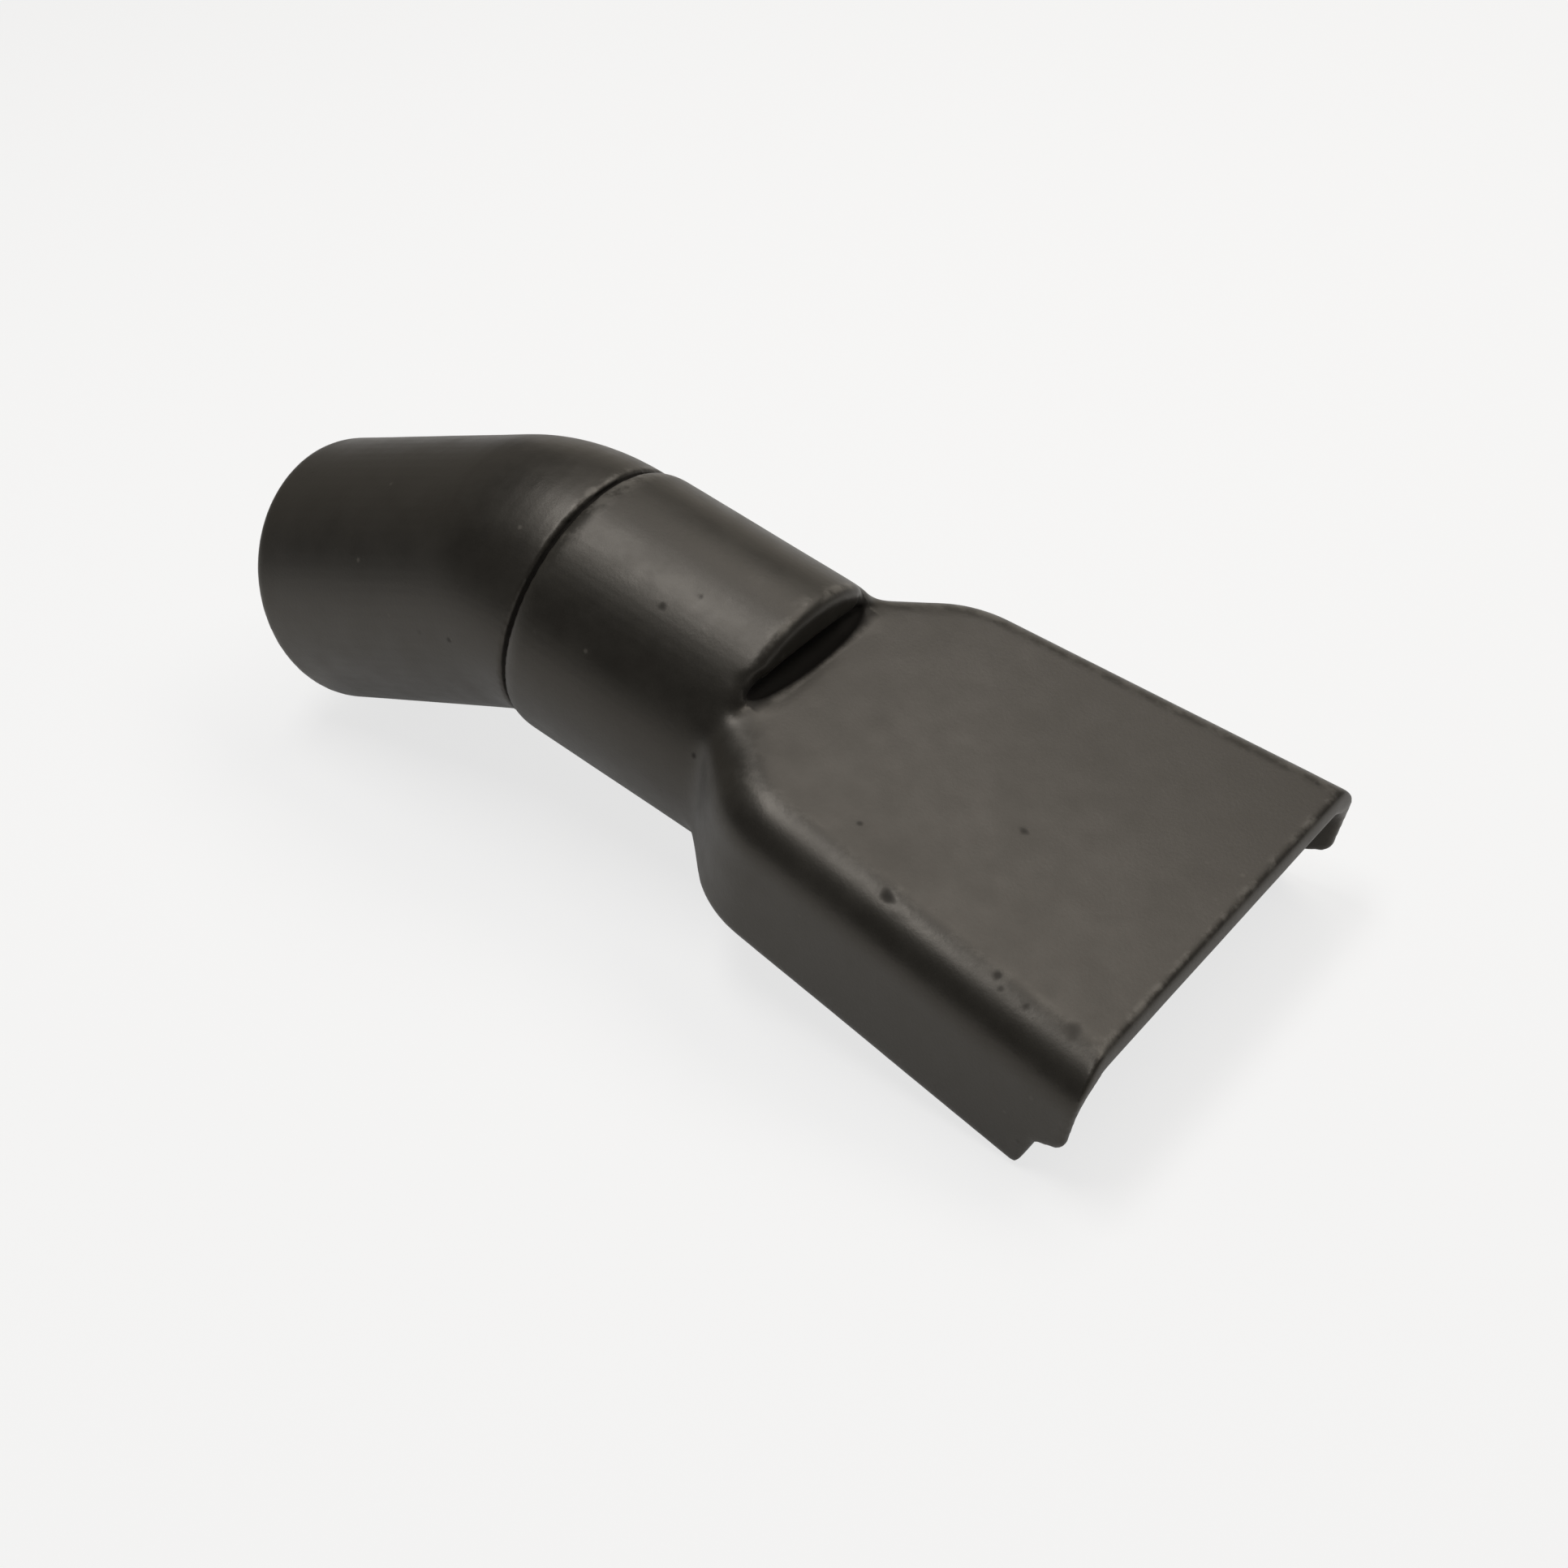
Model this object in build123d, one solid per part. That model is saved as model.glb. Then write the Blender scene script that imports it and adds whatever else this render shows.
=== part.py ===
from build123d import *

import math
import os

# Rubber vacuum nozzle: a flat mouth on a round neck, with a bent tube pushed into the neck.
# Each piece is drawn with the neck's axis along X, the seam of neck and tube at x = 0,
# the mouth towards +X and the flat plate facing +Z. It is then tipped to stand as it rests.
# All sizes are in millimetres and degrees.

# Bent tube
BORE_RADIUS = 17.5
TUBE_WALL = 3.85
TUBE_END_WALL = 4.15
SEAM_GAP = 0.5
SEAM_DEPTH = 1.15
COLLAR_LENGTH = 1.2
COLLAR_BEVEL = 0.25
BEND_ANGLE = 30.9
BEND_INNER_RADIUS = 2.0
TUBE_STRAIGHT_LENGTH = 42.9
TUBE_END_ROUND = 1.2

# Spigot of the tube inside the neck
SPIGOT_WALL = 1.9
SPIGOT_LENGTH = 24.0
FIT_CLEARANCE = 0.15
SPIGOT_END_CLEARANCE = 0.3

# Round neck
NECK_WALL = 2.45
NECK_LENGTH = 38.3
RIM_LAND = 1.75
RIM_ROLL_LENGTH = 3.0
CROWN_ROUND = 2.0
FOOT_ROUND = 3.0

# Flat head, measured from the neck's axis and from the end of the neck's crown
PLATE_HEIGHT = 13.15
HEAD_DEPTH = 23.1
HEAD_LENGTH = 71.7
MOUTH_HALF_WIDTH = 37.6
SHOULDER_LEAD = 9.0
SHOULDER_HALF_WIDTH = 31.25
SHOULDER_ANGLE = 43.0
SHOULDER_ROUND = 19.0
CREASE_ROUND = 5.0
TOP_EDGE_ROUND = 5.8
BOTTOM_EDGE_ROUND = 2.0

# Mouth
PLATE_WALL = 4.6
SIDE_WALL = 3.2
FLOOR_WALL = 3.5
DUCT_TOP_ROUND = 5.5
DUCT_FLOOR_ROUND = 2.0
FLARE_LENGTH = 12.0
UPPER_LIP_WALL = 3.1
UPPER_LIP_LEAN = 0.75
UPPER_LIP_ROUND = 1.1
POST_WALL = 1.8
POST_DEPTH = 13.9
POST_ROUND = 1.9
NOTCH_SETBACK = 3.95
NOTCH_RISE = 1.9
NOTCH_ROUND = 0.8
LOWER_LIP_SETBACK = 5.65
LOWER_LIP_ROUND = 2.4
LOWER_LIP_WALL = 2.8

# Groove across the foot of the neck's crown
GROOVE_RADIUS = 2.5
GROOVE_HALF_LENGTH = 14.0
GROOVE_END_BEVEL = 1.2
GROOVE_RISE = 0.6
GROOVE_SETBACK = 0.5

# Ramp under the head, and the ramp of the bore over it, from the end of the neck's crown back
KEEL_LEAD = 7.3
KEEL_ANGLE = 25.0
KEEL_ROUND = 8.0
CROWN_RAMP_LEAD = 12.2
CROWN_RAMP_ANGLE = 45.0
BORE_RAMP_ROUND = 4.2

# Derived sizes
tube_radius = BORE_RADIUS + TUBE_WALL
tube_end_radius = BORE_RADIUS + TUBE_END_WALL
seat_radius = tube_radius - SEAM_DEPTH
bend_radius = tube_radius + BEND_INNER_RADIUS
spigot_radius = BORE_RADIUS + SPIGOT_WALL
socket_radius = spigot_radius + FIT_CLEARANCE
socket_depth = SPIGOT_LENGTH + SPIGOT_END_CLEARANCE
neck_radius = socket_radius + NECK_WALL
neck_rim_radius = socket_radius + RIM_LAND
plate_z = PLATE_HEIGHT
underside_z = plate_z - HEAD_DEPTH
duct_top_z = plate_z - PLATE_WALL
floor_z = underside_z + FLOOR_WALL
mouth_x = NECK_LENGTH + HEAD_LENGTH
shoulder_x = NECK_LENGTH + SHOULDER_LEAD
lip_x = mouth_x - LOWER_LIP_SETBACK
shoulder_slope = math.tan(math.radians(SHOULDER_ANGLE))
side_slope = (MOUTH_HALF_WIDTH - SHOULDER_HALF_WIDTH) / (HEAD_LENGTH - SHOULDER_LEAD)
keel_slope = math.tan(math.radians(KEEL_ANGLE))
keel_x = NECK_LENGTH - KEEL_LEAD
keel_end = keel_x + (neck_radius + underside_z) / keel_slope
back_x = NECK_LENGTH - TOP_EDGE_ROUND


def side_profile(points, rounds, half_width):
    """Solid of a closed side view, with the corner of each rounded point given its radius."""
    face = make_face(Polyline(*points, close=True))
    for point, radius in zip(points, rounds):
        if radius:
            corner = face.vertices().sort_by_distance((point[0], point[1], 0))[0]
            face = fillet(corner, radius)
    return extrude(Plane.XZ * face, half_width, both=True)


def side_y(inset, x):
    """Half width of the head at x, drawn in from the outer side by inset."""
    return SHOULDER_HALF_WIDTH + side_slope * (x - shoulder_x) - inset * math.hypot(1, side_slope)


def plan_block(inset, start_x, front_x, low_z, high_z):
    """Block with the head's outline seen from above, drawn in from the outer side by inset."""
    shoulder_drop = inset / math.cos(math.radians(SHOULDER_ANGLE))
    side_drop = inset * math.hypot(1, side_slope)
    # the shoulder line and the side line meet at the corner that SHOULDER_ROUND softens
    corner_x = shoulder_x + (shoulder_drop - side_drop) / (shoulder_slope - side_slope)
    corner_y = side_y(inset, corner_x)
    start_y = corner_y - shoulder_slope * (corner_x - start_x)
    half = [(start_x, start_y), (corner_x, corner_y), (front_x, side_y(inset, front_x))]
    points = half + [(x, -y) for x, y in reversed(half)]
    face = make_face(Polyline(*points, close=True))
    corners = face.vertices().filter_by(lambda vertex: abs(vertex.X - corner_x) < 0.01)
    face = fillet(corners, SHOULDER_ROUND - inset)
    return extrude(Plane.XY.offset(low_z) * face, high_z - low_z)


def long_edges(block, z):
    """Edges of a plan block at height z, without its straight front and back edges."""
    level = block.edges().filter_by_position(Axis.Z, z, z)
    return level.filter_by(lambda edge: abs(edge.tangent_at(0.5).X) > 0.1)


def head_block():
    """Flat head: outline with rounded top and bottom edges, cut to the stepped side view of the mouth."""
    block = plan_block(0, back_x, mouth_x, underside_z, plate_z)
    block = fillet(long_edges(block, plate_z), TOP_EDGE_ROUND)
    block = fillet(long_edges(block, underside_z), BOTTOM_EDGE_ROUND)
    post_z = plate_z - POST_DEPTH
    points = [
        (back_x, plate_z),
        (mouth_x - UPPER_LIP_LEAN, plate_z),
        (mouth_x, plate_z - UPPER_LIP_WALL),
        (mouth_x, post_z),
        (mouth_x - NOTCH_SETBACK, post_z - NOTCH_RISE),
        (lip_x, underside_z),
        (back_x, underside_z),
    ]
    rounds = [0, UPPER_LIP_ROUND, 0, POST_ROUND, NOTCH_ROUND, LOWER_LIP_ROUND, 0]
    return block & side_profile(points, rounds, 2 * MOUTH_HALF_WIDTH)


def neck_bar(end_x, end_round):
    """Solid round neck with a rolled rim at the seam, and a rounded edge at its other end."""
    start, roll, end = (0, neck_rim_radius), (RIM_ROLL_LENGTH, neck_radius), (end_x, neck_radius)
    rim = TangentArc(roll, start, tangent=(-1, 0))
    face = make_face(rim + Polyline(roll, end, (end_x, 0), (0, 0), start))
    if end_round:
        face = fillet(face.vertices().sort_by_distance((end_x, neck_radius, 0))[0], end_round)
    return revolve(Plane.XZ * face, Axis.X)


def crown_foot():
    """Hollow-cornered foot of the crown's end wall on the plate."""
    corner, toe = (NECK_LENGTH, plate_z), (NECK_LENGTH + FOOT_ROUND, plate_z)
    top = (NECK_LENGTH, plate_z + FOOT_ROUND)
    sides = Polyline(toe, corner, top) + TangentArc(top, toe, tangent=(0, -1))
    foot = extrude(Plane.XZ * make_face(sides), neck_radius, both=True)
    upright = (Align.CENTER, Align.CENTER, Align.MIN)
    return foot & Plane.YZ * Cylinder(neck_radius - CROWN_ROUND, keel_end, align=upright)


def neck_body():
    """Neck whose crown stops short behind the plate, and whose keel runs on under the head to a ramp."""
    span = 4 * neck_radius
    above = Pos(0, 0, plate_z) * Box(2 * span, span, span, align=(Align.CENTER, Align.CENTER, Align.MIN))
    ramp = side_profile(
        [(keel_x, -neck_radius), (keel_end, underside_z), (keel_end, -span), (keel_x, -span)],
        [0, 0, 0, 0],
        span,
    )
    crown = neck_bar(NECK_LENGTH, CROWN_ROUND) & above
    keel = neck_bar(keel_end, 0) - above - ramp
    return crown + crown_foot() + keel


def groove():
    """Round-bottomed groove with blunt ends across the foot of the neck's crown."""
    bar = Cylinder(GROOVE_RADIUS, 2 * GROOVE_HALF_LENGTH)
    bar = chamfer(bar.edges().filter_by(GeomType.CIRCLE), GROOVE_END_BEVEL)
    return Pos(NECK_LENGTH - GROOVE_SETBACK, 0, plate_z + GROOVE_RISE) * Rot(90, 0, 0) * bar


def duct_section(share):
    """Cross-section of the duct, from the start of the mouth's flare at 0 to the mouth at 1."""
    x = mouth_x - FLARE_LENGTH * (1 - share)
    half_width = side_y(SIDE_WALL + share * (POST_WALL - SIDE_WALL), x)
    top_z = duct_top_z + share * (PLATE_WALL - UPPER_LIP_WALL)
    low_z = floor_z - share * (FLOOR_WALL - LOWER_LIP_WALL)
    points = [(-half_width, low_z), (half_width, low_z), (half_width, top_z), (-half_width, top_z)]
    face = make_face(Polyline(*points, close=True))
    for corner, radius in zip(points, (DUCT_FLOOR_ROUND, DUCT_FLOOR_ROUND, DUCT_TOP_ROUND, DUCT_TOP_ROUND)):
        face = fillet(face.vertices().sort_by_distance((*corner, 0))[0], radius)
    return Plane.YZ.offset(x) * face


def air_way():
    """Inside of the head and neck: socket, bore with ramps at crown and keel, and the flat duct."""
    duct = plan_block(SIDE_WALL, NECK_LENGTH, mouth_x + SIDE_WALL, floor_z, duct_top_z)
    duct = fillet(long_edges(duct, duct_top_z), DUCT_TOP_ROUND)
    duct = fillet(long_edges(duct, floor_z), DUCT_FLOOR_ROUND)
    flare = loft([duct_section(-0.3), duct_section(1.3)], ruled=True)
    bore = Plane.YZ * Cylinder(BORE_RADIUS, keel_end, align=(Align.CENTER, Align.CENTER, Align.MIN))
    crown_x = NECK_LENGTH - CROWN_RAMP_LEAD
    crown_run = (BORE_RADIUS - duct_top_z) / math.tan(math.radians(CROWN_RAMP_ANGLE))
    wall = neck_radius - BORE_RADIUS
    ramp_x = keel_x + (wall - wall / math.cos(math.radians(KEEL_ANGLE))) / keel_slope
    keel_run = (BORE_RADIUS + floor_z) / keel_slope
    points = [
        (0, BORE_RADIUS),
        (crown_x, BORE_RADIUS),
        (crown_x + crown_run, duct_top_z),
        (keel_end, duct_top_z),
        (keel_end, floor_z),
        (ramp_x + keel_run, floor_z),
        (ramp_x, -BORE_RADIUS),
        (0, -BORE_RADIUS),
    ]
    rounds = [0, BORE_RAMP_ROUND, 0, 0, 0, 0, BORE_RAMP_ROUND, 0]
    bore = bore & side_profile(points, rounds, 2 * BORE_RADIUS)
    socket = Plane.YZ * Cylinder(socket_radius, socket_depth, align=(Align.CENTER, Align.CENTER, Align.MIN))
    return [duct, flare, bore, socket]


def creases(head):
    """Inner corners where the neck runs into the shoulders and the underside."""
    edges = head.edges().filter_by(lambda edge: back_x < (edge @ 0.5).X < keel_end)
    edges = edges.filter_by(lambda edge: underside_z - 0.1 < (edge @ 0.5).Z < plate_z - 0.1)
    return edges.filter_by(lambda edge: all(abs(off_neck(edge @ part)) < 0.01 for part in (0, 0.3, 0.6, 1)))


def off_neck(point):
    """Distance of a point from the neck's outer surface."""
    return math.hypot(point.Y, point.Z) - neck_radius


def nozzle_head():
    """Neck and flat head as one rubber moulding."""
    head = head_block() + neck_body()
    head = fillet(creases(head), CREASE_ROUND)
    ramp_edges = head.edges().filter_by(GeomType.ELLIPSE)
    head = fillet(ramp_edges.filter_by(lambda edge: (edge @ 0.5).Z < underside_z - 1), KEEL_ROUND)
    for piece in air_way():
        head = head - piece
    return head - groove()


def bent_bar(radius, end_radius):
    """Round bar along the tube's centre line, from the seam to the free end."""
    collar = Plane.YZ * Cylinder(radius, COLLAR_LENGTH, align=(Align.CENTER, Align.CENTER, Align.MAX))
    start = Plane.YZ.offset(-COLLAR_LENGTH) * Circle(radius)
    centre = (-COLLAR_LENGTH, 0, -bend_radius)
    bend = revolve(start, Axis(centre, (0, -1, 0)), BEND_ANGLE)
    end = Pos(*centre) * Rot(0, -BEND_ANGLE, 0) * Pos(0, 0, bend_radius)
    free_x = -TUBE_STRAIGHT_LENGTH
    half = Polyline((0, 0), (0, radius), (free_x, end_radius), (free_x, 0), close=True)
    arm = revolve(Plane.XZ * make_face(half), Axis.X)
    return collar + bend + end * arm


def bent_tube():
    """Bent tube with a rounded free end, a narrow gap at the seam and a spigot that fills the socket."""
    upright = (Align.CENTER, Align.CENTER, Align.MIN)
    bar = bent_bar(tube_radius, tube_end_radius)
    bar = fillet(bar.edges().filter_by(GeomType.CIRCLE).sort_by(Axis.X)[0], TUBE_END_ROUND)
    trim = Plane.YZ.offset(-SEAM_GAP) * Cylinder(2 * tube_radius, SEAM_GAP + COLLAR_LENGTH, align=upright)
    bar = bar - trim
    bar = chamfer(bar.edges().filter_by(GeomType.CIRCLE).sort_by(Axis.X)[-1], COLLAR_BEVEL)
    seat = Plane.YZ.offset(-COLLAR_LENGTH) * Cylinder(seat_radius, COLLAR_LENGTH, align=upright)
    spigot = Plane.YZ * Cylinder(spigot_radius, SPIGOT_LENGTH, align=upright)
    reach = Plane.YZ * Cylinder(BORE_RADIUS, SPIGOT_LENGTH, align=upright)
    return bar + seat + spigot - bent_bar(BORE_RADIUS, BORE_RADIUS) - reach


def resting_place(pieces):
    """Location that sets the pieces down on the tube's lower rim and the mouth's lower lip."""
    angle = math.radians(BEND_ANGLE)
    rim_arm = TUBE_STRAIGHT_LENGTH - TUBE_END_ROUND
    flare = (tube_end_radius - tube_radius) / TUBE_STRAIGHT_LENGTH
    rim_radius = tube_end_radius - TUBE_END_ROUND * (flare + math.hypot(1, flare))
    rim_x = -COLLAR_LENGTH - bend_radius * math.sin(angle) - rim_arm * math.cos(angle)
    rim_x += rim_radius * math.sin(angle)
    rim_z = -bend_radius + bend_radius * math.cos(angle) - rim_arm * math.sin(angle)
    rim_z -= rim_radius * math.cos(angle)
    front = math.atan2(HEAD_DEPTH - POST_DEPTH - NOTCH_RISE, LOWER_LIP_SETBACK - NOTCH_SETBACK)
    tip_x = lip_x - LOWER_LIP_ROUND / math.tan((math.pi - front) / 2)
    tip_z = underside_z + LOWER_LIP_ROUND
    run, rise = tip_x - rim_x, tip_z - rim_z
    tip = math.atan2(rise, run) + math.asin((TUBE_END_ROUND - LOWER_LIP_ROUND) / math.hypot(run, rise))
    tipped = Rot(0, math.degrees(tip), 0)
    box = Compound([tipped * piece for piece in pieces]).bounding_box()
    return Pos(-box.center().X, 0, -box.min.Z) * tipped


nodes = {"nozzle_head": nozzle_head(), "bent_tube": bent_tube()}
place = resting_place(list(nodes.values()))

os.makedirs("parts", exist_ok=True)
for name, piece in nodes.items():
    export_step(place * piece, f"parts/{name}.step")
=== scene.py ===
"""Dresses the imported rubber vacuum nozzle.

Each of the two rubber mouldings gets a soft skin over its solid, with the rounded edges, the slight
unevenness and the small nicks of used rubber. A studio with a pale floor and a camera complete the scene.
All lengths are in metres, in the part's own frame.
"""

import logging
import math
from dataclasses import dataclass, field
from enum import Enum

import bmesh
import bpy
import numpy as np
from mathutils import Matrix, Vector, noise


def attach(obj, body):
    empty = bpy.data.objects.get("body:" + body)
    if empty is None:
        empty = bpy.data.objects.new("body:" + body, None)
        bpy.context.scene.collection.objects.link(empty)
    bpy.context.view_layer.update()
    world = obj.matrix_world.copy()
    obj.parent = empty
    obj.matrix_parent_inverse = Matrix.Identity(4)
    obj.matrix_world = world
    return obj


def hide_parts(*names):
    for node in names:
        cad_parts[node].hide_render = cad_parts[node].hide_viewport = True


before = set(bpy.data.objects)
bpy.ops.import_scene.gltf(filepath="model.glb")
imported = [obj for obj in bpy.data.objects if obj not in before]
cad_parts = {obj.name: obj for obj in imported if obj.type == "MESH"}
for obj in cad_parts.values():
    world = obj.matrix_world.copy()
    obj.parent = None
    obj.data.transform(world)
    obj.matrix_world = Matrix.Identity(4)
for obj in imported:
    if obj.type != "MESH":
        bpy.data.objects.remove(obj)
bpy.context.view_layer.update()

LOG = logging.getLogger("nozzle")
MM = 0.001
# Places of the colour sockets on Blender's mix node.
MIX_COLOURS = (6, 7)
MIX_RESULT = 2
Colour = tuple[float, float, float]
Point = tuple[float, float, float]
Pair = tuple[float, float]
Socket = bpy.types.NodeSocket


class Mark(Enum):
    """Kinds of small damage that use leaves in the rubber, with the way each moves the surface."""

    NICK = -1.0
    BURR = 1.0


@dataclass(frozen=True)
class Dent:
    """One small mark on a moulding, placed in the neck's own axes."""

    place: Point
    radius: float
    depth: float
    hollow_shade_and_nick_dirt: float
    mark: Mark


@dataclass(frozen=True)
class SoftZone:
    """A box in the neck's own axes inside which the rubber's corners are worn rounder."""

    low: Point
    high: Point
    fade: float
    passes: int

    @classmethod
    def in_mm(cls, x: Pair, y: Pair, z: Pair, fade: float, passes: int) -> "SoftZone":
        """Makes a zone from lengths in millimetres.

        Args:
            x: ends of the box along the neck.
            y: ends of the box across the neck.
            z: ends of the box out of the plate.
            fade: depth over which the zone takes hold.
            passes: number of smoothing passes.

        Returns:
            The zone.
        """
        low, high = ((x[end] * MM, y[end] * MM, z[end] * MM) for end in (0, 1))
        return cls(low, high, fade * MM, passes)

    def share(self, places: np.ndarray) -> np.ndarray:
        """How much each point belongs to the zone.

        Args:
            places: points in the neck's own axes, one row each.

        Returns:
            One share per point, from nothing outside to one well inside.
        """
        inside = np.minimum(places - np.array(self.low), np.array(self.high) - places)
        return np.clip(inside / self.fade, 0.0, 1.0).prod(axis=1)


@dataclass(frozen=True)
class NeckAxes:
    """The neck's own axes: X along the neck to the mouth, Z out of the plate, zero at the seam."""

    tip_deg: float = 13.3669
    seam: Point = (-24.3113 * MM, 0.0, 33.4292 * MM)

    def to_part(self) -> Matrix:
        """Matrix from the neck's axes to the part's frame."""
        return Matrix.Translation(self.seam) @ Matrix.Rotation(math.radians(self.tip_deg), 4, "Y")

    def from_part(self, places: np.ndarray) -> np.ndarray:
        """Turns points of the part's frame into the neck's axes.

        Args:
            places: points in the part's frame, one row each.

        Returns:
            The same points in the neck's axes.
        """
        back = np.array(self.to_part().inverted())
        return places @ back[:3, :3].T + back[:3, 3]

    def into_part(self, places: np.ndarray) -> np.ndarray:
        """Turns points of the neck's axes into the part's frame.

        Args:
            places: points in the neck's axes, one row each.

        Returns:
            The same points in the part's frame.
        """
        home = np.array(self.to_part())
        return places @ home[:3, :3].T + home[:3, 3]


@dataclass(frozen=True)
class WornEdge:
    """The plate's near long edge, which use has worn rounder than it was moulded."""

    shoulder: Pair = (47.3 * MM, -31.25 * MM)
    side_slope: float = 0.10128
    shoulder_slope: float = 0.93252
    plan_round: float = 19.0 * MM
    plate_z: float = 13.15 * MM
    edge_round: float = 7.5 * MM
    start_x: Pair = (35.0 * MM, 42.0 * MM)
    most: float = 0.9 * MM

    def inset(self, places: np.ndarray) -> np.ndarray:
        """Distance of each point in from the head's outline, seen from above.

        Args:
            places: points in the neck's own axes.

        Returns:
            One distance per point.
        """
        flat = places[:, :2] - np.array(self.shoulder)
        outward = np.array([[-slope, -1.0] for slope in (self.side_slope, self.shoulder_slope)])
        outward /= np.linalg.norm(outward, axis=1)[:, None]
        depths = -flat @ outward.T
        centre = np.linalg.solve(outward, np.full(2, -self.plan_round))
        spoke = flat - centre
        along = outward @ np.array([[0.0, -1.0], [1.0, 0.0]])
        turning = (spoke @ along[0] > 0.0) & (spoke @ along[1] < 0.0)
        return np.where(turning, self.plan_round - np.linalg.norm(spoke, axis=1), depths.min(axis=1))

    def push(self, places: np.ndarray) -> np.ndarray:
        """How far each point goes in to lie on the rounder edge.

        Args:
            places: points in the neck's own axes.

        Returns:
            One distance per point, negative inwards.
        """
        sideways = self.edge_round - self.inset(places)
        upward = self.edge_round - self.plate_z + places[:, 2]
        corner = np.stack([sideways, upward], axis=1)
        proud = np.linalg.norm(corner, axis=1) - self.edge_round
        on_edge = (corner > 0.0).all(axis=1) & (proud > 0.0) & (proud < self.most) & (places[:, 1] < 0.0)
        begin, full = self.start_x
        return -np.where(on_edge, proud, 0.0) * np.clip((places[:, 0] - begin) / (full - begin), 0.0, 1.0)


@dataclass(frozen=True)
class Hollow:
    """The hollow under the neck's crown, which tapers to both ends and whose walls get painted shade."""

    middle: Pair = (37.8 * MM, 13.75 * MM)
    radius: float = 2.5 * MM
    half_length: float = 14.6 * MM
    border: float = 0.8 * MM
    fullness: float = 0.55
    # Strongest painted shade on the hollow's walls.
    darkest_hollow_shade: float = 0.85

    def wall_share(self, places: np.ndarray) -> np.ndarray:
        """How much each point belongs to the hollow's walls.

        Args:
            places: points in the neck's own axes, before the taper.

        Returns:
            One share per point, which fades out over the border.
        """
        reach = np.linalg.norm(places[:, [0, 2]] - np.array(self.middle), axis=1)
        share = np.clip((self.radius + self.border - reach) / self.border, 0.0, 1.0)
        return share * (np.abs(places[:, 1]) < self.half_length)

    def taper(self, places: np.ndarray) -> np.ndarray:
        """Draws the hollow's walls together towards its ends.

        Args:
            places: points in the neck's own axes.

        Returns:
            The moved points.
        """
        spoke = places[:, [0, 2]] - np.array(self.middle)
        ends = np.clip(1.0 - (places[:, 1] / self.half_length) ** 2, 0.0, 1.0) ** self.fullness
        moved = places.copy()
        moved[:, [0, 2]] -= spoke * (self.wall_share(places) * (1.0 - ends))[:, None]
        return moved

    def hollow_shade_and_nick_dirt(self, places: np.ndarray) -> np.ndarray:
        """Share of painted shade at each point, from points in the neck's own axes before the taper."""
        return self.darkest_hollow_shade * self.wall_share(places)


@dataclass(frozen=True)
class SeamTrim:
    """The tube's end beside the seam, which is cut back so that the gap shows."""

    depth: float
    seat_radius: float = 20.2 * MM
    edge_fade: float = 0.2 * MM
    back_end: float = -2.55 * MM
    back_fade: float = 1.5 * MM

    def shift(self, places: np.ndarray) -> np.ndarray:
        """How far each point goes back along the neck.

        Args:
            places: points in the neck's own axes.

        Returns:
            One distance per point, nothing on the seat and away from the seam.
        """
        reach = np.hypot(places[:, 1], places[:, 2]) - self.seat_radius
        near = (places[:, 0] - self.back_end) / self.back_fade
        return self.depth * np.clip(reach / self.edge_fade, 0.0, 1.0) * np.clip(near, 0.0, 1.0)


@dataclass(frozen=True)
class WearAndLight:
    """How bulging edges rub pale and get a painted highlight where they face up, and creases get painted
    shade, by how far a point leans out of its neighbours.
    """

    passes: int = 6
    rub_and_highlight_from: float = 0.006
    rub_and_highlight_span: float = 0.012
    upward_from: float = 0.7
    upward_span: float = 0.2
    least_rub_and_highlight: float = 0.1
    crease_from: float = 0.03
    crease_span: float = 0.1

    def rub_and_highlight(self, lean: np.ndarray, upward: np.ndarray) -> np.ndarray:
        """How far each point is rubbed pale and brightened as a painted highlight, more where its face looks
        up.

        Args:
            lean: how far each point stands out.
            upward: how far each point's face looks up.

        Returns:
            One share per point.
        """
        bulging = np.clip((lean - self.rub_and_highlight_from) / self.rub_and_highlight_span, 0.0, 1.0)
        return bulging * np.clip((upward - self.upward_from) / self.upward_span, self.least_rub_and_highlight, 1.0)

    def shade_and_dirt(self, lean: np.ndarray) -> np.ndarray:
        """How much painted shade each point gets in creases, from how far it stands out."""
        return np.clip((-lean - self.crease_from) / self.crease_span, 0.0, 1.0)


@dataclass(frozen=True)
class Ripple:
    """Settings of one noise texture: waves per metre, number of finer layers and their weight."""

    scale: float
    detail: float
    rough: float


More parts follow.
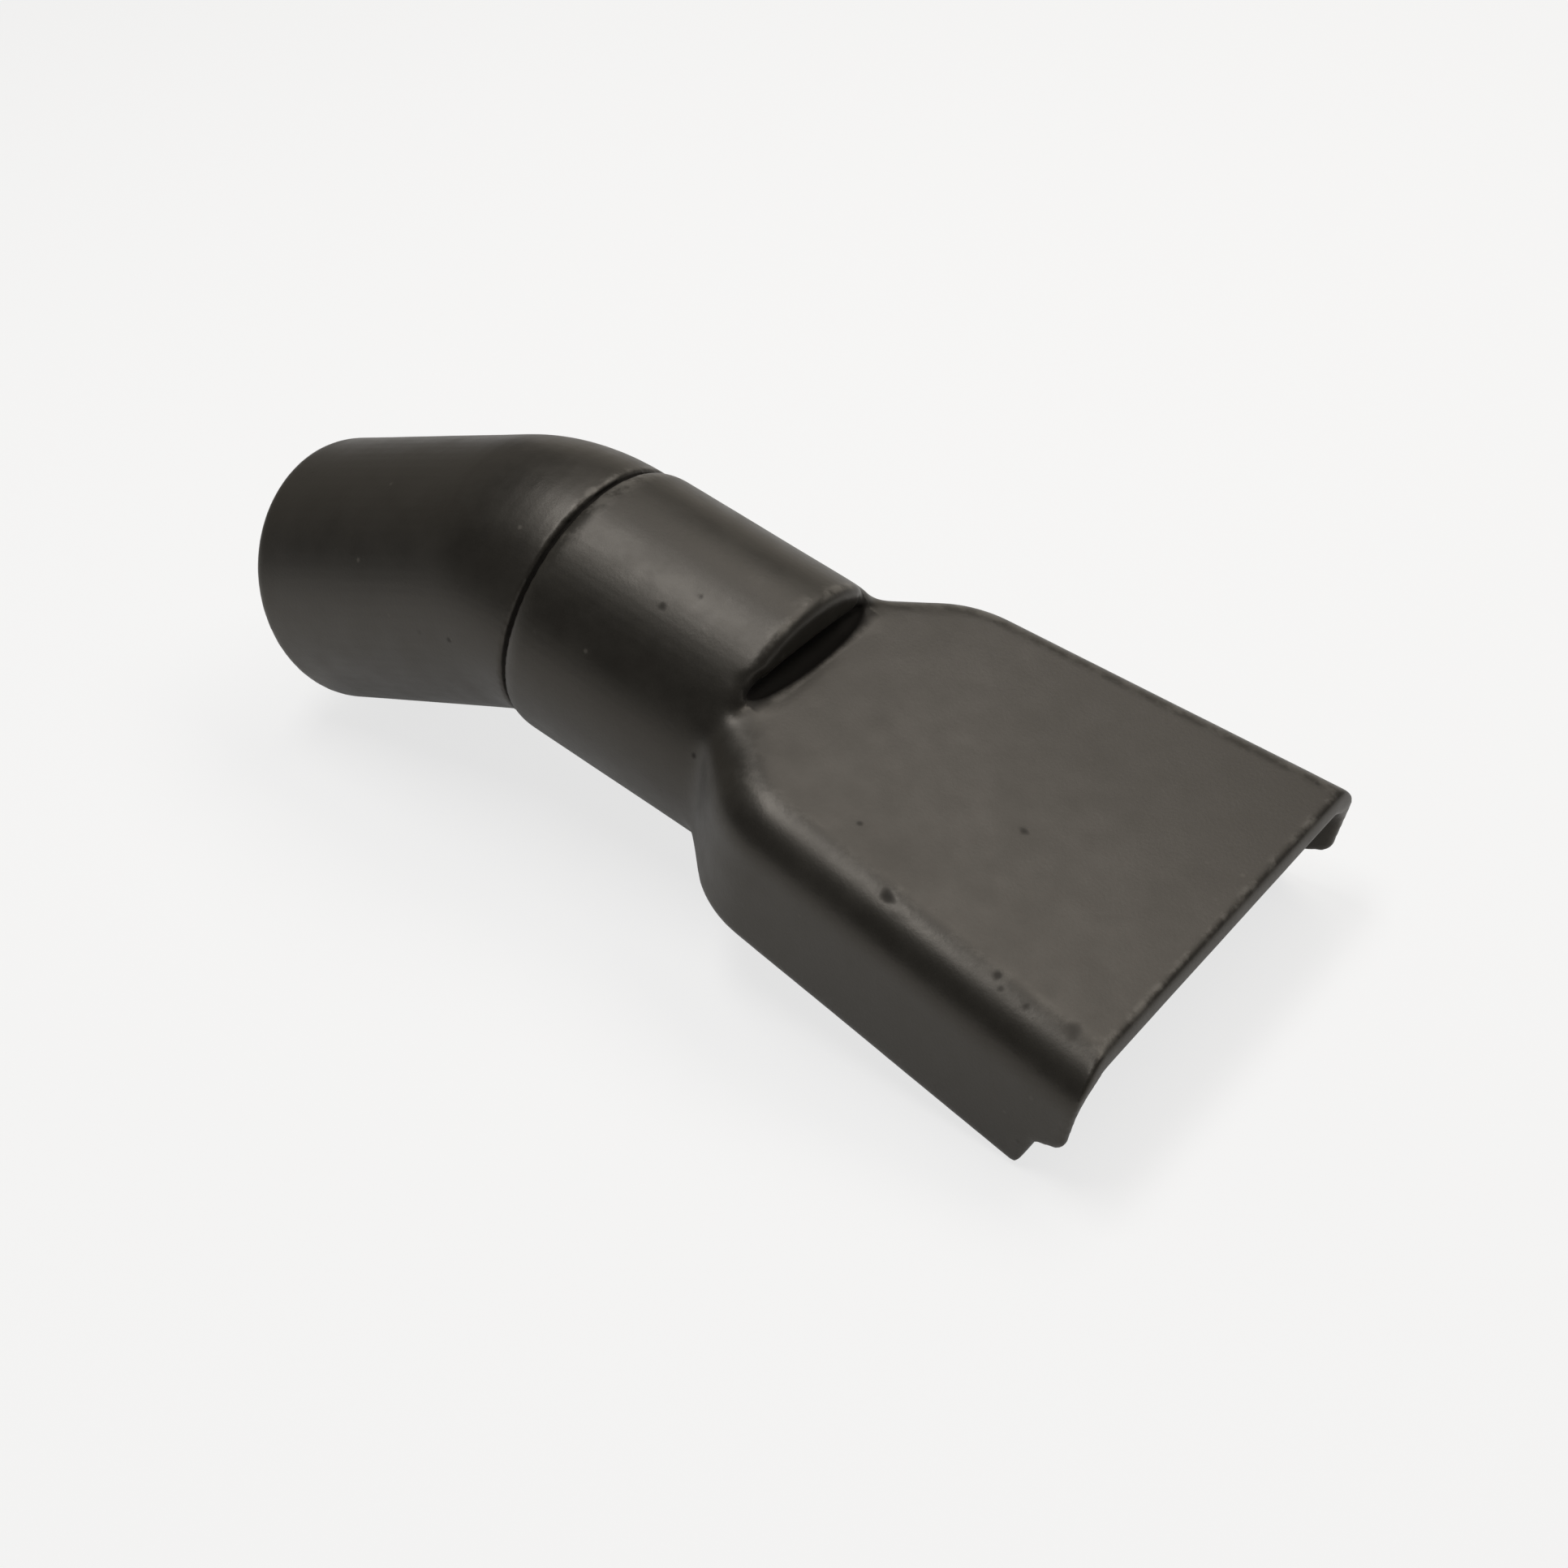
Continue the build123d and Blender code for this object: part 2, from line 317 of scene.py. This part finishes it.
class NodeSheet:
    """A material's node tree, with short calls to add and join its nodes."""

    def __init__(self, name: str) -> None:
        """Starts a material that holds only its shader and output.

        Args:
            name: name of the new material.
        """
        self.material = bpy.data.materials.new(name)
        self.material.use_nodes = True
        self.tree = self.material.node_tree
        self.shader = self.tree.nodes["Principled BSDF"]
        self.output = self.tree.nodes["Material Output"]

    def add(self, kind: str, **settings: object) -> bpy.types.Node:
        """Adds a node and sets its properties.

        Args:
            kind: Blender's name of the node type.
            settings: properties of the node, by name.

        Returns:
            The new node.
        """
        node = self.tree.nodes.new(kind)
        for key, value in settings.items():
            setattr(node, key, value)
        return node

    def join(self, source: Socket, target: Socket) -> None:
        """Links an output socket to an input socket."""
        self.tree.links.new(source, target)

    def noise(self, where: Socket, ripple: Ripple) -> Socket:
        """Adds a noise texture.

        Args:
            where: coordinates to read.
            ripple: settings of the noise.

        Returns:
            The texture's value socket.
        """
        node = self.add("ShaderNodeTexNoise")
        node.inputs["Scale"].default_value = ripple.scale
        node.inputs["Detail"].default_value = ripple.detail
        node.inputs["Roughness"].default_value = ripple.rough
        self.join(where, node.inputs["Vector"])
        return node.outputs["Fac"]

    def span(
        self, value: Socket, low: float, high: float, to_low: float = 0.0, to_high: float = 1.0
    ) -> Socket:
        """Maps a range of values to another, clamped at both ends.

        Args:
            value: socket to read.
            low: value that gives to_low.
            high: value that gives to_high.
            to_low: first end of the new range.
            to_high: second end of the new range.

        Returns:
            The mapped socket.
        """
        node = self.add("ShaderNodeMapRange", clamp=True)
        self.join(value, node.inputs["Value"])
        ends = {"From Min": low, "From Max": high, "To Min": to_low, "To Max": to_high}
        for key, number in ends.items():
            node.inputs[key].default_value = number
        return node.outputs["Result"]

    def maths(self, operation: str, first: Socket, second: Socket | float) -> Socket:
        """Works out one value from two.

        Args:
            operation: name of the operation.
            first: first value.
            second: second value, a socket or a number.

        Returns:
            The result's socket.
        """
        node = self.add("ShaderNodeMath", operation=operation)
        self.join(first, node.inputs[0])
        if isinstance(second, float):
            node.inputs[1].default_value = second
        else:
            self.join(second, node.inputs[1])
        return node.outputs[0]

    def mix(self, share: Socket, first: Socket | Colour, second: Socket | Colour) -> Socket:
        """Mixes two colours.

        Args:
            share: share of the second colour.
            first: first colour, a socket or its numbers.
            second: second colour, a socket or its numbers.

        Returns:
            The mixed colour's socket.
        """
        node = self.add("ShaderNodeMix", data_type="RGBA")
        self.join(share, node.inputs["Factor"])
        for index, colour in zip(MIX_COLOURS, (first, second)):
            if isinstance(colour, tuple):
                node.inputs[index].default_value = (*colour, 1.0)
            else:
                self.join(colour, node.inputs[index])
        return node.outputs[MIX_RESULT]


@dataclass(frozen=True)
class RubberFinish:
    """Satin dark brown-grey rubber with faint clouding, dust specks and scuffs, rubbed edges that also carry
    a painted highlight, and painted shade in creases, the hollow and the seam gap.
    """

    name: str
    deep: Colour
    pale: Colour
    dust: Colour = (0.15, 0.138, 0.118)
    # Pale worn rubber, also used as a painted highlight on upward-facing edges.
    rubbed_and_highlight: Colour = (0.098, 0.0912, 0.0795)
    soot: Colour = (0.004, 0.0037, 0.0032)
    # Near-black painted shade for creases, the hollow and the seam gap, also real dirt in the nicks.
    shade_and_dirt: Colour = (0.007, 0.0064, 0.0056)
    sheen: Colour = (1.0, 0.925, 0.83)
    specular: float = 0.62
    roughness: Pair = (0.34, 0.48)
    speck_roughness: float = 0.35
    shade_and_dirt_roughness: float = 0.4
    clouds: Ripple = Ripple(38.0, 4.0, 0.55)
    cloud_weight: float = 0.45
    blots: Ripple = Ripple(190.0, 4.0, 0.6)
    blot_weight: float = 0.55
    tone_range: Pair = (0.3, 0.7)
    patches: Ripple = Ripple(300.0, 4.0, 0.65)
    patch_range: Pair = (0.46, 0.61)
    grain: Ripple = Ripple(1900.0, 3.0, 0.6)
    grain_strength: float = 0.6
    grain_depth: float = 0.03 * MM
    dust_scale: float = 230.0
    dust_strength: float = 0.45
    soot_scale: float = 171.0
    soot_strength: float = 0.9
    speck_radius: Pair = (0.04, 0.11)
    speck_pick: Pair = (0.78, 0.95)
    seam_middle: float = -0.38 * MM
    seam_half: float = 0.38 * MM
    seam_fade: float = 1.3
    axes: NeckAxes = NeckAxes()

    def material(self) -> bpy.types.Material:
        """Builds the node material of this finish.

        Returns:
            The material.
        """
        sheet = NodeSheet(self.name)
        shader = sheet.shader.inputs
        where = sheet.add("ShaderNodeTexCoord").outputs["Object"]
        clouds = sheet.span(sheet.noise(where, self.clouds), *self.tone_range)
        blots = sheet.span(sheet.noise(where, self.blots), *self.tone_range)
        grain = sheet.noise(where, self.grain)
        clouds = sheet.maths("MULTIPLY", clouds, self.cloud_weight)
        tone = sheet.maths("ADD", clouds, sheet.maths("MULTIPLY", blots, self.blot_weight))
        patches = sheet.span(sheet.noise(where, self.patches), *self.patch_range)
        # Rubbed pale edges, brightened further as a painted highlight where they face up.
        rub_and_highlight = sheet.add("ShaderNodeAttribute", attribute_name="rub_and_highlight").outputs["Fac"]
        # Painted shade in creases and the hollow, with real dirt in the nicks.
        shade_and_dirt_attribute = sheet.add("ShaderNodeAttribute", attribute_name="crevice_shade_and_dirt").outputs["Fac"]
        dust = self.specks(sheet, where, self.dust_scale, self.dust_strength)
        soot = self.specks(sheet, where, self.soot_scale, self.soot_strength)
        # Painted shade in the gap at the seam joins the painted shade of creases and the hollow.
        shade_and_dirt = sheet.maths("MAXIMUM", shade_and_dirt_attribute, self.seam(sheet, where))
        colour = sheet.mix(tone, self.deep, self.pale)
        # Paler patches on the edges: part wear, part painted highlight.
        colour = sheet.mix(sheet.maths("MULTIPLY", rub_and_highlight, patches), colour, self.rubbed_and_highlight)
        colour = sheet.mix(dust, colour, self.dust)
        colour = sheet.mix(soot, colour, self.soot)
        # Near-black painted shade in creases, the hollow and the seam gap, and dirt in the nicks.
        colour = sheet.mix(shade_and_dirt, colour, self.shade_and_dirt)
        sheet.join(colour, shader["Base Color"])
        specks = sheet.maths("MAXIMUM", dust, soot)
        rough = sheet.span(tone, 0.0, 1.0, *self.roughness)
        for share, more in ((specks, self.speck_roughness), (shade_and_dirt, self.shade_and_dirt_roughness)):
            rough = sheet.maths("ADD", rough, sheet.maths("MULTIPLY", share, more))
        sheet.join(rough, shader["Roughness"])
        shader["Specular IOR Level"].default_value = self.specular
        shader["Specular Tint"].default_value = (*self.sheen, 1.0)
        bump = sheet.add("ShaderNodeBump")
        bump.inputs["Strength"].default_value = self.grain_strength
        bump.inputs["Distance"].default_value = self.grain_depth
        sheet.join(grain, bump.inputs["Height"])
        sheet.join(bump.outputs["Normal"], shader["Normal"])
        return sheet.material

    def seam(self, sheet: NodeSheet, where: Socket) -> Socket:
        """Marks the narrow gap between tube and neck for painted shade.

        Args:
            sheet: node tree to add to.
            where: coordinates to read.

        Returns:
            The share of painted shade, one in the gap and nothing beside it.
        """
        turn = sheet.add("ShaderNodeMapping", vector_type="TEXTURE")
        turn.inputs["Location"].default_value = self.axes.seam
        turn.inputs["Rotation"].default_value = (0.0, math.radians(self.axes.tip_deg), 0.0)
        sheet.join(where, turn.inputs["Vector"])
        parts = sheet.add("ShaderNodeSeparateXYZ")
        sheet.join(turn.outputs[0], parts.inputs[0])
        off = sheet.maths("ABSOLUTE", sheet.maths("SUBTRACT", parts.outputs["X"], self.seam_middle), 0.0)
        return sheet.span(off, self.seam_half, self.seam_fade * self.seam_half, 1.0, 0.0)

    def specks(self, sheet: NodeSheet, where: Socket, scale: float, most: float) -> Socket:
        """Adds sparse specks.

        Args:
            sheet: node tree to add to.
            where: coordinates to read.
            scale: cells per metre, of which a few hold a speck.
            most: strength of the strongest speck.

        Returns:
            The share of the specks.
        """
        cells = sheet.add("ShaderNodeTexVoronoi", feature="F1")
        cells.inputs["Scale"].default_value = scale
        sheet.join(where, cells.inputs["Vector"])
        dots = sheet.span(cells.outputs["Distance"], *self.speck_radius, 1.0, 0.0)
        pick = sheet.add("ShaderNodeSeparateColor")
        sheet.join(cells.outputs["Color"], pick.inputs[0])
        few = sheet.span(pick.outputs[0], *self.speck_pick, 0.0, most)
        return sheet.maths("MULTIPLY", dots, few)


@dataclass
class SoftSkin:
    """A rubber moulding's skin: a finely divided copy of its solid with softened edges."""

    node: str
    slot: str
    name: str
    finish: RubberFinish
    merge_gap: float = 0.001 * MM
    voxel: float = 0.4 * MM
    soft_passes: int = 2
    soft_share: float = 0.5
    budget: int = 190_000
    waves: tuple[Pair, ...] = ((0.05 * MM, 42.0), (0.012 * MM, 165.0))
    dent_reach: float = 2.0
    ragged: float = 0.5
    ragged_scale: float = 800.0
    axes: NeckAxes = NeckAxes()
    wear_and_light: WearAndLight = WearAndLight()
    seam_trim: SeamTrim | None = None
    worn_edge: WornEdge | None = None
    hollow: Hollow | None = None
    zones: list[SoftZone] = field(default_factory=list)
    dents: list[Dent] = field(default_factory=list)

    def build(self) -> bpy.types.Object:
        """Builds, shapes and dresses the skin and seats it on its solid.

        Returns:
            The finished piece.
        """
        piece = self.copy_solid()
        mesh = piece.data
        shape = bmesh.new()
        shape.from_mesh(mesh)
        for _ in range(self.soft_passes):
            bmesh.ops.smooth_vert(
                shape,
                verts=shape.verts,
                factor=self.soft_share,
                use_axis_x=True,
                use_axis_y=True,
                use_axis_z=True,
            )
        shape.to_mesh(mesh)
        shape.free()
        hollow_shade_and_nick_dirt = self.relax(mesh)
        hollow_shade_and_nick_dirt = np.maximum(hollow_shade_and_nick_dirt, self.sculpt(mesh))
        self.mark_wear_and_light(mesh, hollow_shade_and_nick_dirt)
        mesh = self.thin_out(piece)
        mesh.shade_smooth()
        mesh.materials.clear()
        mesh.materials.append(self.finish.material())
        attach(piece, "root")
        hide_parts(self.node)
        LOG.info("%s: %d faces", piece.name, len(mesh.polygons))
        return piece

    def copy_solid(self) -> bpy.types.Object:
        """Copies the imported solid, merges its triangles and divides it into small even faces.

        Returns:
            A new object with the divided mesh.
        """
        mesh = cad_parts[self.node].data.copy()
        merged = bmesh.new()
        merged.from_mesh(mesh)
        bmesh.ops.remove_doubles(merged, verts=merged.verts, dist=self.merge_gap)
        merged.to_mesh(mesh)
        merged.free()
        piece = bpy.data.objects.new(self.name, mesh)
        bpy.context.scene.collection.objects.link(piece)
        cells = piece.modifiers.new("even_faces", "REMESH")
        cells.mode = "VOXEL"
        cells.voxel_size = self.voxel
        graph = bpy.context.evaluated_depsgraph_get()
        divided = bpy.data.meshes.new_from_object(piece.evaluated_get(graph))
        piece.modifiers.clear()
        piece.data = divided
        divided.name = self.name
        bpy.data.meshes.remove(mesh)
        return piece

    def thin_out(self, piece: bpy.types.Object) -> bpy.types.Mesh:
        """Joins small faces on the calm stretches, so that the skin keeps within its budget.

        Args:
            piece: the shaped skin.

        Returns:
            The skin's new mesh.
        """
        fine = piece.data
        triangles = sum(len(face.vertices) - 2 for face in fine.polygons)
        if triangles > self.budget:
            fewer = piece.modifiers.new("calm_faces", "DECIMATE")
            fewer.ratio = self.budget / triangles
            graph = bpy.context.evaluated_depsgraph_get()
            piece.data = bpy.data.meshes.new_from_object(piece.evaluated_get(graph))
            piece.modifiers.clear()
            piece.data.name = self.name
            bpy.data.meshes.remove(fine)
        return piece.data

    def relax(self, mesh: bpy.types.Mesh) -> np.ndarray:
        """Wears the near edge, tapers the hollow and rounds the corners inside the soft zones.

        Args:
            mesh: the skin.

        Returns:
            The share of painted shade in the hollow, one per point.
        """
        places = self.read(mesh.vertices, "co")
        ends = self.read(mesh.edges, "vertices", np.int32)
        local = self.axes.from_part(places)
        hollow_shade_and_nick_dirt = np.zeros(len(places))
        if self.worn_edge:
            normals = self.read(mesh.vertices, "normal")
            places += normals * self.worn_edge.push(local)[:, None]
            local = self.axes.from_part(places)
        if self.hollow:
            hollow_shade_and_nick_dirt = self.hollow.hollow_shade_and_nick_dirt(local)
            local = self.hollow.taper(local)
            places = self.axes.into_part(local)
        for zone in self.zones:
            share = zone.share(local)
            pairs = ends[(share[ends] > 0.0).any(axis=1)]
            used, rows = np.unique(pairs, return_inverse=True)
            rows = rows.reshape(-1, 2)
            moved, part = places[used], self.soft_share * share[used][:, None]
            for _ in range(zone.passes):
                moved = moved + part * (self.average(moved, rows) - moved)
            places[used] = moved
        mesh.vertices.foreach_set("co", places.ravel())
        mesh.update()
        return hollow_shade_and_nick_dirt

    def sculpt(self, mesh: bpy.types.Mesh) -> np.ndarray:
        """Moves the skin's points for the uneven rubber, its dents and the trimmed edge at the seam.

        Args:
            mesh: the skin.

        Returns:
            The share of dirt in the nicks, one per point.
        """
        places = self.read(mesh.vertices, "co")
        normals = self.read(mesh.vertices, "normal")
        local = self.axes.from_part(places)
        push, hollow_shade_and_nick_dirt = np.zeros(len(places)), np.zeros(len(places))
        for height, scale in self.waves:
            push += height * np.array([noise.noise(row) for row in (places * scale).tolist()])
        for dent in self.dents:
            gap = np.linalg.norm(local - np.array(dent.place), axis=1) / dent.radius
            near = np.flatnonzero(gap < self.dent_reach)
            rough = np.array([noise.noise(row) for row in (local[near] * self.ragged_scale).tolist()])
            gap = gap[near] + self.ragged * rough
            share = np.clip(1.0 - gap * gap, 0.0, 1.0)
            push[near] += dent.mark.value * dent.depth * share**2
            hollow_shade_and_nick_dirt[near] = np.maximum(hollow_shade_and_nick_dirt[near], dent.hollow_shade_and_nick_dirt * share)
        places += normals * push[:, None]
        if self.seam_trim:
            along = np.array(self.axes.to_part())[:3, 0]
            places -= self.seam_trim.shift(local)[:, None] * along
        mesh.vertices.foreach_set("co", places.ravel())
        mesh.update()
        return hollow_shade_and_nick_dirt

    def mark_wear_and_light(self, mesh: bpy.types.Mesh, hollow_shade_and_nick_dirt: np.ndarray) -> None:
        """Stores how far each point stands out or lies in, for rubbed edges with a painted highlight and
        painted shade in creases.

        Args:
            mesh: the finished skin.
            hollow_shade_and_nick_dirt: share of painted shade in the hollow and of dirt in the nicks, one per
                point.
        """
        places = self.read(mesh.vertices, "co")
        normals = self.read(mesh.vertices, "normal")
        ends = self.read(mesh.edges, "vertices", np.int32)
        bulge = self.average(places, ends) - places
        lean = -(bulge * normals).sum(1)[:, None] / self.voxel
        for _ in range(self.wear_and_light.passes):
            lean = self.average(lean, ends)
        lean = lean[:, 0]
        upward = normals @ np.array(self.axes.to_part())[:3, 2]
        # Bulging edges facing up get paler, part wear and part painted highlight; creases get painted shade.
        rub_and_highlight = self.wear_and_light.rub_and_highlight(lean, upward)
        crevice_shade_and_dirt = np.maximum(self.wear_and_light.shade_and_dirt(lean), hollow_shade_and_nick_dirt)
        for label, value in (("rub_and_highlight", rub_and_highlight), ("crevice_shade_and_dirt", crevice_shade_and_dirt)):
            layer = mesh.attributes.new(label, "FLOAT", "POINT")
            layer.data.foreach_set("value", value.astype(np.float32))

    @staticmethod
    def read(items: bpy.types.bpy_prop_collection, label: str, kind: type = np.float32) -> np.ndarray:
        """Reads a property of all points or edges.

        Args:
            items: the mesh's points or edges.
            label: name of the property.
            kind: type of its numbers.

        Returns:
            One row per point or edge.
        """
        wide = 2 if label == "vertices" else 3
        values = np.empty(len(items) * wide, kind)
        items.foreach_get(label, values)
        values = values.reshape(-1, wide)
        return values if kind is np.int32 else values.astype(np.float64)

    @staticmethod
    def average(rows: np.ndarray, ends: np.ndarray) -> np.ndarray:
        """Mean of each point's neighbours.

        Args:
            rows: one row per point.
            ends: the two points of each edge.

        Returns:
            One row per point.
        """
        here, there = ends.ravel(), ends[:, ::-1].ravel()
        degree = np.maximum(np.bincount(here, minlength=len(rows)), 1)
        sums = [np.bincount(here, rows[there, part], len(rows)) for part in range(rows.shape[1])]
        return np.stack(sums, axis=1) / degree[:, None]


@dataclass(frozen=True)
class Softbox:
    """One soft rectangular lamp of the studio."""

    name: str
    place: Point
    width: float
    height: float
    glow: float
    tint: Colour = (1.0, 1.0, 1.0)
    target: Point = (0.0, 0.0, 30.0 * MM)

    def build(self) -> bpy.types.Object:
        """Hangs the lamp and turns it to its target.

        Returns:
            The lamp.
        """
        lamp = bpy.data.lights.new(self.name, "AREA")
        lamp.shape = "RECTANGLE"
        lamp.size = self.width
        lamp.size_y = self.height
        lamp.energy = self.glow * math.pi * self.width * self.height
        lamp.color = self.tint
        piece = bpy.data.objects.new(self.name, lamp)
        piece.location = self.place
        aim = Vector(self.target) - Vector(self.place)
        piece.rotation_euler = aim.to_track_quat("-Z", "Y").to_euler()
        piece.visible_camera = False
        bpy.context.scene.collection.objects.link(piece)
        return piece


@dataclass
class Studio:
    """Pale floor, even surroundings and soft lamps."""

    floor_size: float = 40.0
    floor_cells: int = 4
    floor_roughness: float = 0.9
    floor_colour: Colour = (0.9, 0.89, 0.87)
    lift: float = 0.75
    lift_reach: Pair = (0.5, 2.5)
    floor_gloss: float = 0.4
    surround: Colour = (0.045, 0.045, 0.045)
    gloss_share: float = 0.02
    lamps: list[Softbox] = field(
        default_factory=lambda: [
            Softbox("overhead", (-0.14, -0.06, 0.75), 0.5, 0.2, 7.8),
            Softbox("back_panel", (0.169, 0.454, 0.803), 0.9, 0.4, 3.15, (1.0, 0.965, 0.92)),
            Softbox("left_card", (-0.85, 0.15, 0.3), 0.9, 0.6, 0.14, (1.0, 0.9, 0.74)),
            Softbox("back_card", (-0.35, 0.95, 0.2), 1.0, 0.4, 0.5, (1.0, 0.91, 0.77)),
        ]
    )

    def build(self) -> None:
        """Builds the surroundings, the floor and the lamps."""
        self.build_surround()
        self.build_floor()
        for lamp in self.lamps:
            lamp.build()
            LOG.info("lamp %s", lamp.name)

    def build_surround(self) -> None:
        """Gives the world an even grey light and a white backdrop for the camera."""
        world = bpy.data.worlds.new("surround")
        bpy.context.scene.world = world
        world.use_nodes = True
        tree = world.node_tree
        back = tree.nodes["Background"]
        back.inputs["Color"].default_value = (*self.surround, 1.0)
        white = tree.nodes.new("ShaderNodeBackground")
        white.inputs["Color"].default_value = (1.0, 1.0, 1.0, 1.0)
        either = tree.nodes.new("ShaderNodeMixShader")
        tree.links.new(self.seen_share(tree, self.gloss_share), either.inputs["Fac"])
        tree.links.new(back.outputs[0], either.inputs[1])
        tree.links.new(white.outputs[0], either.inputs[2])
        tree.links.new(either.outputs[0], tree.nodes["World Output"].inputs["Surface"])

    @staticmethod
    def seen_share(tree: bpy.types.NodeTree, gloss_share: float) -> Socket:
        """Adds a share that is whole for what is looked at straight or through glass.

        Args:
            tree: node tree to add to.
            gloss_share: share for what is seen as a reflection.

        Returns:
            The share's socket.
        """
        ray = tree.nodes.new("ShaderNodeLightPath")
        gloss = tree.nodes.new("ShaderNodeMath")
        gloss.operation = "MULTIPLY"
        gloss.inputs[1].default_value = gloss_share
        tree.links.new(ray.outputs["Is Glossy Ray"], gloss.inputs[0])
        share = gloss.outputs[0]
        for kind in ("Is Transmission Ray", "Is Camera Ray"):
            more = tree.nodes.new("ShaderNodeMath")
            more.operation = "MAXIMUM"
            tree.links.new(ray.outputs[kind], more.inputs[0])
            tree.links.new(share, more.inputs[1])
            share = more.outputs[0]
        return share

    def build_floor(self) -> bpy.types.Object:
        """Lays the floor, which keeps a soft shadow of the part and whitens towards the backdrop.

        Returns:
            The floor.
        """
        mesh = bpy.data.meshes.new("floor")
        flat = bmesh.new()
        bmesh.ops.create_grid(
            flat, x_segments=self.floor_cells, y_segments=self.floor_cells, size=self.floor_size / 2
        )
        flat.to_mesh(mesh)
        flat.free()
        floor = bpy.data.objects.new("floor", mesh)
        bpy.context.scene.collection.objects.link(floor)
        sheet = NodeSheet("pale_floor")
        sheet.shader.inputs["Base Color"].default_value = (*self.floor_colour, 1.0)
        sheet.shader.inputs["Roughness"].default_value = self.floor_roughness
        sheet.shader.inputs["Specular IOR Level"].default_value = 0.0
        glow = sheet.add("ShaderNodeEmission")
        either = sheet.add("ShaderNodeMixShader")
        away = sheet.add("ShaderNodeVectorMath", operation="LENGTH")
        sheet.join(sheet.add("ShaderNodeTexCoord").outputs["Object"], away.inputs[0])
        lift = sheet.span(away.outputs["Value"], *self.lift_reach, self.lift, 1.0)
        seen = sheet.maths("MULTIPLY", self.seen_share(sheet.tree, self.floor_gloss), lift)
        sheet.join(seen, either.inputs["Fac"])
        sheet.join(sheet.shader.outputs[0], either.inputs[1])
        sheet.join(glow.outputs[0], either.inputs[2])
        sheet.join(either.outputs[0], sheet.output.inputs["Surface"])
        mesh.materials.append(sheet.material)
        return floor


@dataclass(frozen=True)
class ViewCamera:
    """Camera that looks down on the plate from beside the mouth."""

    station: Point = (190.542 * MM, -219.775 * MM, 225.707 * MM)
    gaze: Point = (-0.50735, 0.61781, -0.60076)
    roll_deg: float = -3.4414
    focal_mm: float = 54.066
    sensor_mm: float = 36.0
    near_clip: float = 10.0 * MM

    def build(self) -> bpy.types.Object:
        """Sets up the camera and makes it the scene's own.

        Returns:
            The camera.
        """
        lens = bpy.data.cameras.new("view")
        lens.sensor_fit = "HORIZONTAL"
        lens.sensor_width = self.sensor_mm
        lens.lens = self.focal_mm
        lens.clip_start = self.near_clip
        camera = bpy.data.objects.new("view", lens)
        turn = Vector(self.gaze).to_track_quat("-Z", "Y").to_matrix().to_4x4()
        roll = Matrix.Rotation(math.radians(self.roll_deg), 4, "Z")
        camera.matrix_world = Matrix.Translation(self.station) @ turn @ roll
        bpy.context.scene.collection.objects.link(camera)
        bpy.context.scene.camera = camera
        return camera


def head_zones() -> list[SoftZone]:
    """Soft zones of the head: near long edge, mouth's lips, shoulder creases and ends of the hollow.

    Returns:
        The zones in smoothing order, from rows of x, y and z ends and fade in millimetres, and passes.
    """
    rows = [((36, 107), (-41, -17), (0, 16), 4, 12), ((103.5, 113), (-41, 41), (-15, 16), 1.5, 6)]
    for y_crease, y_end in (((-28, -14), (-19, -10.5)), ((14, 28), (10.5, 19))):
        rows.append(((28, 52), y_crease, (-13, 15), 4, 40))
        rows.append(((33, 44), y_end, (10, 18), 1.5, 30))
    return [SoftZone.in_mm(*row) for row in rows]


def tube_zones() -> list[SoftZone]:
    """Soft zone of the tube: the rim of its free end."""
    return [SoftZone.in_mm((-66, -34), (-25, 25), (-54, 0), 3, 8)]


def head_marks() -> list[Dent]:
    """Nicks and burrs that the plate, its near edge and the neck's top have taken in use.

    Returns:
        The marks, from rows of place, radius and depth in millimetres and the share of dirt.
    """
    nicks = (
        (73.8, -29.0, 12.9, 1.25, 0.14, 0.9),
        (92.0, -30.2, 13.0, 0.8, 0.06, 0.8),
        (80.3, -6.4, 13.15, 0.8, 0.04, 0.7),
        (104.2, -31.0, 12.9, 1.5, 0.08, 0.5),
        (97.5, -31.6, 12.7, 0.7, 0.04, 0.6),
        (20.2, -12.1, 18.4, 0.8, 0.04, 0.7),
        (24.0, -8.2, 20.4, 0.6, 0.03, 0.5),
    )
    burrs = (
        (76.8, -29.8, 12.7, 1.6, 0.05, 0.0),
        (15.8, -8.8, 20.2, 1.1, 0.04, 0.0),
    )
    return [
        Dent((x * MM, y * MM, z * MM), radius * MM, depth * MM, hollow_shade_and_nick_dirt, mark)
        for mark, rows in ((Mark.NICK, nicks), (Mark.BURR, burrs))
        for x, y, z, radius, depth, hollow_shade_and_nick_dirt in rows
    ]


def main() -> None:
    """Builds the camera, the studio and the two mouldings."""
    logging.basicConfig(level=logging.INFO, format="%(name)s: %(message)s")
    bpy.context.scene.view_settings.view_transform = "Standard"
    ViewCamera().build()
    Studio().build()
    head_rubber = RubberFinish("head_rubber", (0.0175, 0.0159, 0.013), (0.0285, 0.0262, 0.0216))
    tube_rubber = RubberFinish("tube_rubber", (0.017, 0.0154, 0.0126), (0.0278, 0.0253, 0.0208))
    SoftSkin(
        "nozzle_head",
        "head_rubber",
        "head_moulding",
        head_rubber,
        worn_edge=WornEdge(),
        hollow=Hollow(),
        zones=head_zones(),
        dents=head_marks(),
    ).build()
    SoftSkin(
        "bent_tube",
        "tube_rubber",
        "tube_moulding",
        tube_rubber,
        seam_trim=SeamTrim(0.25 * MM),
        zones=tube_zones(),
    ).build()


if __name__ == "__main__":
    main()
